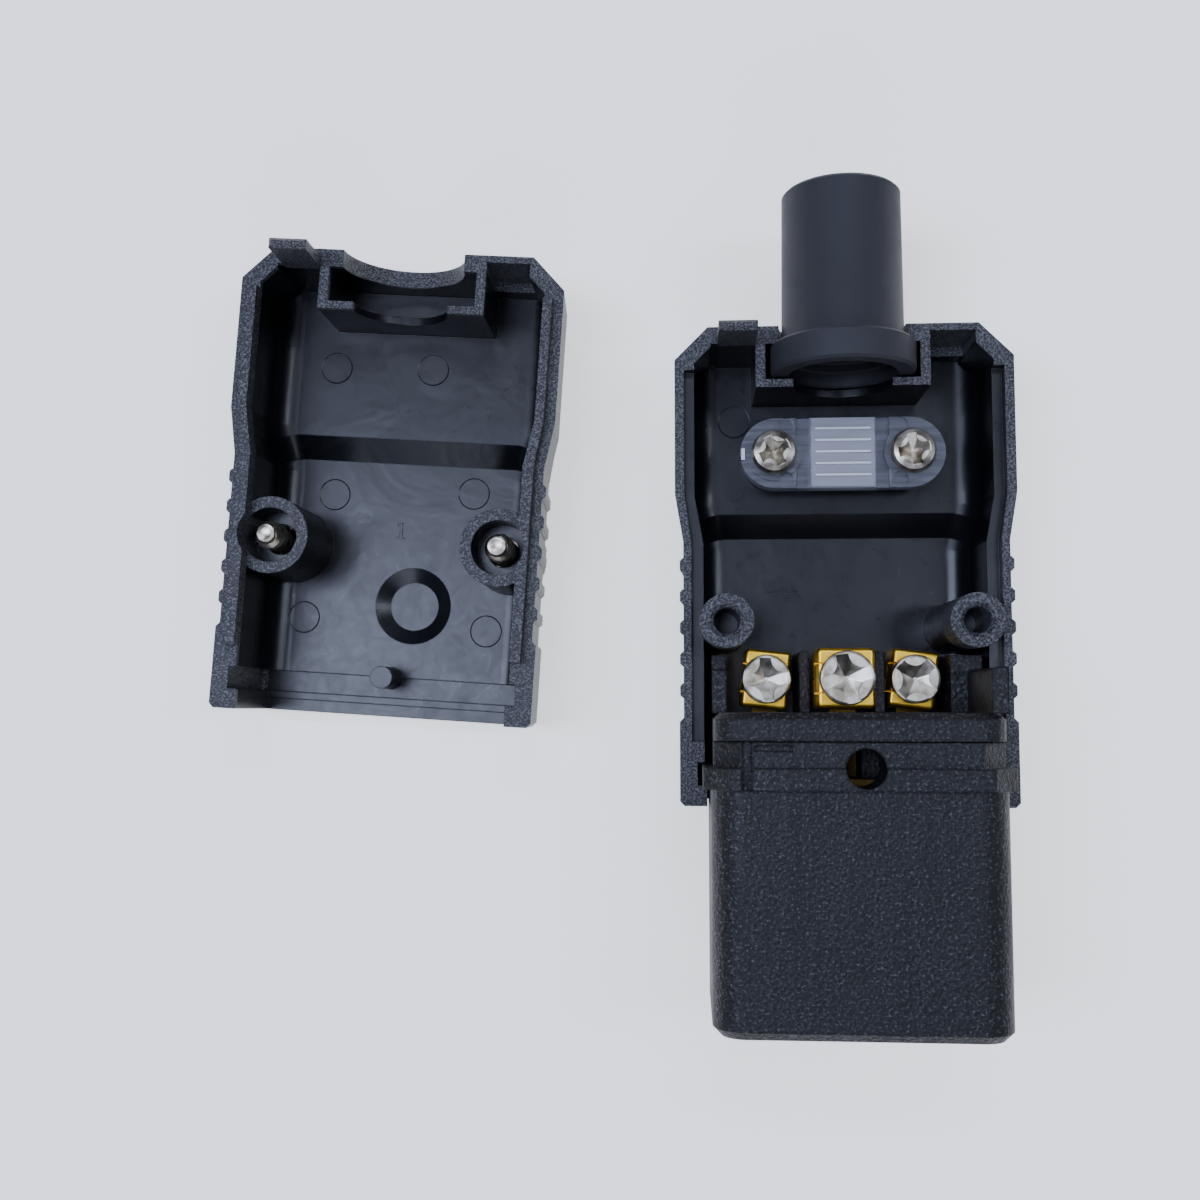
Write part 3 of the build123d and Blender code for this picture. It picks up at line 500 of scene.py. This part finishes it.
def cross_tool(top, reach, lobe, lobe_out, depth, deep):
    """The shape that the driver fits: a disc and a faceted cone below it, less four lobes."""
    tool = bar_round(reach, top - depth, top + 0.002)
    bpy.ops.object.select_all(action="DESELECT")
    bpy.ops.mesh.primitive_cone_add(
        vertices=8, radius1=0.00022, radius2=reach, depth=deep,
        location=(0, 0, top - depth - deep / 2), rotation=(0, 0, math.radians(17)),
    )
    point = bpy.context.object
    bpy.ops.object.transform_apply(location=True, rotation=True, scale=True)
    grow_on(tool, point)
    for corner in range(4):
        angle = math.radians(45 + 90 * corner)
        place = (lobe_out * math.cos(angle), lobe_out * math.sin(angle))
        cut_away(tool, bar_round(lobe, top - 2 * depth - deep, top + 0.003, place))
    return tool


def screw(name, head, height, rim, shank, length, pitch, driver):
    """A screw standing at the origin, its seat at z = 0 and its shank pointing down."""
    crown = [(0, 0, height), (head - rim, 0, height), (head - 0.3 * rim, 0, height - 0.3 * rim),
             (head, 0, height - rim), (head, 0, 0.0001), (head - 0.0001, 0, 0), (0, 0, 0)]
    top = draw_line(crown)
    turn_round((0, 0, 0), (0, 0, 1), 72)
    cut_away(top, cross_tool(height, **driver))

    # One turn of the thread, wound up by the Screw modifier and capped at both ends.
    root = shank - 0.35 * pitch
    turns = max(2, int((length - 0.0004) / pitch))
    start = -length + 0.0003
    thread = draw_line([(root, 0, start), (shank, 0, start + 0.45 * pitch),
                        (shank, 0, start + 0.55 * pitch), (root, 0, start + pitch)])
    bpy.ops.object.mode_set(mode="OBJECT")
    wind = thread.modifiers.new("wind", "SCREW")
    wind.angle = 2 * math.pi
    wind.steps = wind.render_steps = 28
    wind.iterations = turns
    wind.screw_offset = pitch
    wind.use_merge_vertices = True
    wind.merge_threshold = weld
    bpy.ops.object.modifier_apply(modifier="wind")
    bpy.ops.object.mode_set(mode="EDIT")
    bpy.ops.mesh.select_all(action="SELECT")
    bpy.ops.mesh.remove_doubles(threshold=2 * weld)
    bpy.ops.mesh.fill_holes(sides=0)
    bpy.ops.mesh.select_all(action="SELECT")
    bpy.ops.mesh.normals_make_consistent(inside=False)
    bpy.ops.object.mode_set(mode="OBJECT")

    # The core of the shank, with a chamfered and slightly dimpled tip.
    core = draw_line([(0, 0, 0.00018 - length), (0.42 * shank, 0, -length),
                      (0.62 * shank, 0, 0.00008 - length), (root, 0, 0.0006 - length),
                      (root, 0, -0.0001), (0, 0, -0.0001)])
    turn_round((0, 0, 0), (0, 0, 1), 36)
    bpy.ops.object.select_all(action="DESELECT")
    for part in (core, thread, top):
        part.select_set(True)
    bpy.context.view_layer.objects.active = top
    bpy.ops.object.join()
    top.name = name
    top.data.materials.append(nickel)
    even_out(top, 20)
    return top


def drive_in(pattern, name, node, body, head, turn, flip=False):
    """Sets a copy of the screw, with its own mesh, in its solid's place, head up or down."""
    piece = pattern.copy()
    piece.data = pattern.data.copy()
    piece.name = name
    bpy.context.collection.objects.link(piece)
    low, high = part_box(node)
    seat = low[2] + head if flip else high[2] - head
    settle(piece, ((low[0] + high[0]) / 2, (low[1] + high[1]) / 2, seat),
           math.radians(turn), flip)
    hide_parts(node)
    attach(piece, body)


flat_driver = {"reach": 0.00255, "lobe": 0.00143, "lobe_out": 0.00290, "depth": 0.0002,
               "deep": 0.0009}
wide_driver = {"reach": 0.00274, "lobe": 0.00150, "lobe_out": 0.00306, "depth": 0.0002,
               "deep": 0.0009}
flat_head = 0.0016
flat_screw = screw("flat_screw", head=0.0027, height=flat_head, rim=0.0003, shank=0.00175,
                   length=0.0038, pitch=0.0006, driver=flat_driver)
wide_screw = screw("wide_screw", head=0.0029, height=flat_head, rim=0.0003, shank=0.00175,
                   length=0.0038, pitch=0.0006, driver=wide_driver)
for pole, turn in (("live", 4), ("earth", 14), ("neutral", 47)):
    drive_in(wide_screw if pole == "earth" else flat_screw, "screw_%s_nickel" % pole,
             "terminal_screw_" + pole, "screw_" + pole, flat_head, turn)

dome_driver = {"reach": 0.00185, "lobe": 0.00080, "lobe_out": 0.00185, "depth": 0.0003,
               "deep": 0.0011}
dome_head = 0.0018
dome_screw = screw("dome_screw", head=0.00255, height=dome_head, rim=0.0010, shank=0.0014,
                   length=0.0070, pitch=0.0011, driver=dome_driver)
for side, turn in (("left", 28), ("right", 12)):
    drive_in(dome_screw, "clamp_screw_%s_nickel" % side, "clamp_screw_" + side,
             "clamp_screw_" + side, dome_head, turn)

long_head = 0.0019
long_screw = screw("long_screw", head=0.0026, height=long_head, rim=0.0008, shank=0.0016,
                   length=0.0094, pitch=0.0012, driver=dome_driver)
for side, turn in (("left", 40), ("right", 75)):
    drive_in(long_screw, "cover_screw_%s_nickel" % side, "cover_screw_" + side,
             "cover_screw_" + side, long_head, turn, flip=True)

for pattern in (flat_screw, wide_screw, dome_screw, long_screw):
    bpy.data.objects.remove(pattern, do_unlink=True)


# Mould number: a plain 1, raised 0.06 mm on the floor of the cover and 2 mm tall. It is part
# of the moulding and has the finish of the floor round it.
floor_height = 0.0022
sunk, proud = -0.00005, 0.00006
half_high, stroke = 0.0010, 0.00018
number = block((-stroke, -half_high, sunk), (stroke, half_high, proud))
grow_on(number, block((-0.00048, 0.0006, sunk), (0.00010, 0.00088, proud)))
grow_on(number, block((-0.00048, -half_high, sunk), (0.00048, -0.00075, proud)))
number.name = "mould_number"
number_x, number_y = -0.0005, 0.0224
cos, sin = math.cos(cover_turn), math.sin(cover_turn)
settle(number, (cover_place[0] + number_x * cos - number_y * sin,
                cover_place[1] + number_x * sin + number_y * cos, floor_height), cover_turn)
number.data.materials.append(cover_finish)
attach(number, "cover")


# Cord clamp bar: natural nylon, milky and translucent, injection moulded with a ribbed pad
# in the middle, a raised collar round each screw and the broken gate at its left end. Its
# skin is drawn out in streaks 8 mm long and 0.6 mm wide.
def soften(piece, width, segments):
    """Rounds every sharp edge of the piece and shades it smooth."""
    pick(piece)
    bevel = piece.modifiers.new("edges", "BEVEL")
    bevel.width = width
    bevel.segments = segments
    bevel.limit_method = "ANGLE"
    bevel.angle_limit = math.radians(30)
    bpy.ops.object.modifier_apply(modifier="edges")
    even_out(piece, 50)


bar_low, bar_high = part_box("clamp_bar")
bar_x = (bar_low[0] + bar_high[0]) / 2
bar_y = (bar_low[1] + bar_high[1]) / 2
bar_half = (bar_high[1] - bar_low[1]) / 2
straight = (bar_high[0] - bar_low[0]) / 2 - bar_half
thick = bar_high[2] - bar_low[2]
plate = thick - 0.0005
clamp_bar = bar_round(bar_half, 0, plate, vertices=96)
clamp_bar.name = "clamp_bar_nylon"
for side in (-1, 1):
    bpy.ops.object.mode_set(mode="EDIT")
    bpy.ops.mesh.select_mode(type="VERT")
    bpy.ops.mesh.select_all(action="DESELECT")
    bpy.ops.object.mode_set(mode="OBJECT")
    for vertex in clamp_bar.data.vertices:
        vertex.select = side * vertex.co.x > 0.00001
    bpy.ops.object.mode_set(mode="EDIT")
    bpy.ops.transform.translate(value=(side * straight, 0, 0))
bpy.ops.object.mode_set(mode="OBJECT")

pad, pad_margin = 0.0036, 0.0001  # half the pad's length, and its distance from the long sides
grow_on(clamp_bar, block((-pad, -bar_half + pad_margin, 0.001),
                         (pad, bar_half - pad_margin, thick - 0.0002)))
rib_count, rib_pitch, rib_first = 5, 0.00132, 0.0014
rib_long, rib_wide = 0.0031, 0.00012  # half the length and half the width of a rib
for count in range(rib_count):
    rib_y = -bar_half + rib_first + count * rib_pitch
    grow_on(clamp_bar, block((-rib_long, rib_y - rib_wide, 0.0012),
                             (rib_long, rib_y + rib_wide, thick)))
grow_on(clamp_bar, block((0.0001 - straight - bar_half, -0.0008, 0.0005),
                         (0.0005 - straight - bar_half, 0.0005, thick)))
screw_out, tool_top = 0.00775, 0.004
for side in (-1, 1):
    hole = side * screw_out
    waist_in, waist_out = sorted((side * 0.0037, side * 0.0052))
    cut_away(clamp_bar, block((waist_in, -0.01, plate - 0.0004), (waist_out, 0.01, tool_top)))
    grow_on(clamp_bar, bar_round(0.00315, 0.0005, plate + 0.0002, (hole, 0), 64))
    cut_away(clamp_bar, bar_round(0.0016, -past, tool_top, (hole, 0)))
    for across in (-1, 1):
        cut_away(clamp_bar, bar_round(0.0009, plate - 0.00025, tool_top,
                                      (side * 0.0064, across * 0.0031), 32))
soften(clamp_bar, 0.00008, 2)
settle(clamp_bar, (bar_x, bar_y, bar_low[2]))

pad_end, clear_end = 0.0034, 0.0040  # the pad is milky, and the ends beyond it are clearer
milky, tree, skin = new_finish("natural_nylon_milky")
here = add(tree, "ShaderNodeTexCoord")
drawn = add(tree, "ShaderNodeMapping", {"Scale": (120, 1800, 600)},
            {"Vector": here.outputs["Object"]})
rub = add(tree, "ShaderNodeTexNoise", {"Scale": 1, "Detail": 4},
          {"Vector": drawn.outputs[0]})
bump = add(tree, "ShaderNodeBump", {"Strength": 0.4, "Distance": 0.00004},
           {"Height": rub.outputs[0]})
tree.links.new(bump.outputs[0], skin.inputs["Normal"])
middle = add(tree, "ShaderNodeMapping", {"vector_type": "POINT",
             "Location": (-bar_x, -bar_y, 0)}, {"Vector": here.outputs["Object"]})
across = add(tree, "ShaderNodeSeparateXYZ", links={0: middle.outputs[0]})
out = add(tree, "ShaderNodeMath", {"operation": "ABSOLUTE"}, {0: across.outputs["X"]})
ends = add(tree, "ShaderNodeMapRange", {"From Min": pad_end, "From Max": clear_end},
           {"Value": out.outputs[0]})
cloud = add(tree, "ShaderNodeMix", {"data_type": "RGBA", 6: linear("#a4a6b2"),
            7: linear("#cccdd4")}, {0: rub.outputs[0]})
streak = add(tree, "ShaderNodeMapRange", {"From Min": 0.4, "From Max": 0.6},
             {"Value": rub.outputs[0]})
glass = add(tree, "ShaderNodeMix", {"data_type": "RGBA", 6: linear("#878b9a"),
            7: linear("#b8bbc8")}, {0: streak.outputs[0]})
veil = add(tree, "ShaderNodeMix", {"data_type": "RGBA"},
           {0: ends.outputs[0], 6: cloud.outputs[2], 7: glass.outputs[2]})
# Painted highlight: the tops of the ribs and of the gate nub, within 0.13 mm of the bar's top,
# are painted near white, as light catching them.
height = add(tree, "ShaderNodeMapRange", {"From Min": bar_low[2] + thick - 0.00013,
             "From Max": bar_low[2] + thick - 0.00008}, {"Value": across.outputs["Z"]})
white = add(tree, "ShaderNodeMix", {"data_type": "RGBA", 7: linear("#dfe0e8")},
            {0: height.outputs[0], 6: veil.outputs[2]})
tree.links.new(white.outputs[2], skin.inputs["Base Color"])
skin.inputs["Roughness"].default_value = 0.32
skin.inputs["IOR"].default_value = 1.53
# The painted highlight on those tops is also made nearly opaque.
clear = add(tree, "ShaderNodeMapRange", {"From Min": pad_end, "From Max": clear_end,
            "To Min": 0.45, "To Max": 0.82}, {"Value": out.outputs[0]})
clearer = add(tree, "ShaderNodeMix", {"data_type": "FLOAT", 3: 0.1},
              {0: height.outputs[0], 2: clear.outputs[0]})
tree.links.new(clearer.outputs[0], skin.inputs["Transmission Weight"])
clamp_bar.data.materials.append(milky)
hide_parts("clamp_bar")
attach(clamp_bar, "clamp")
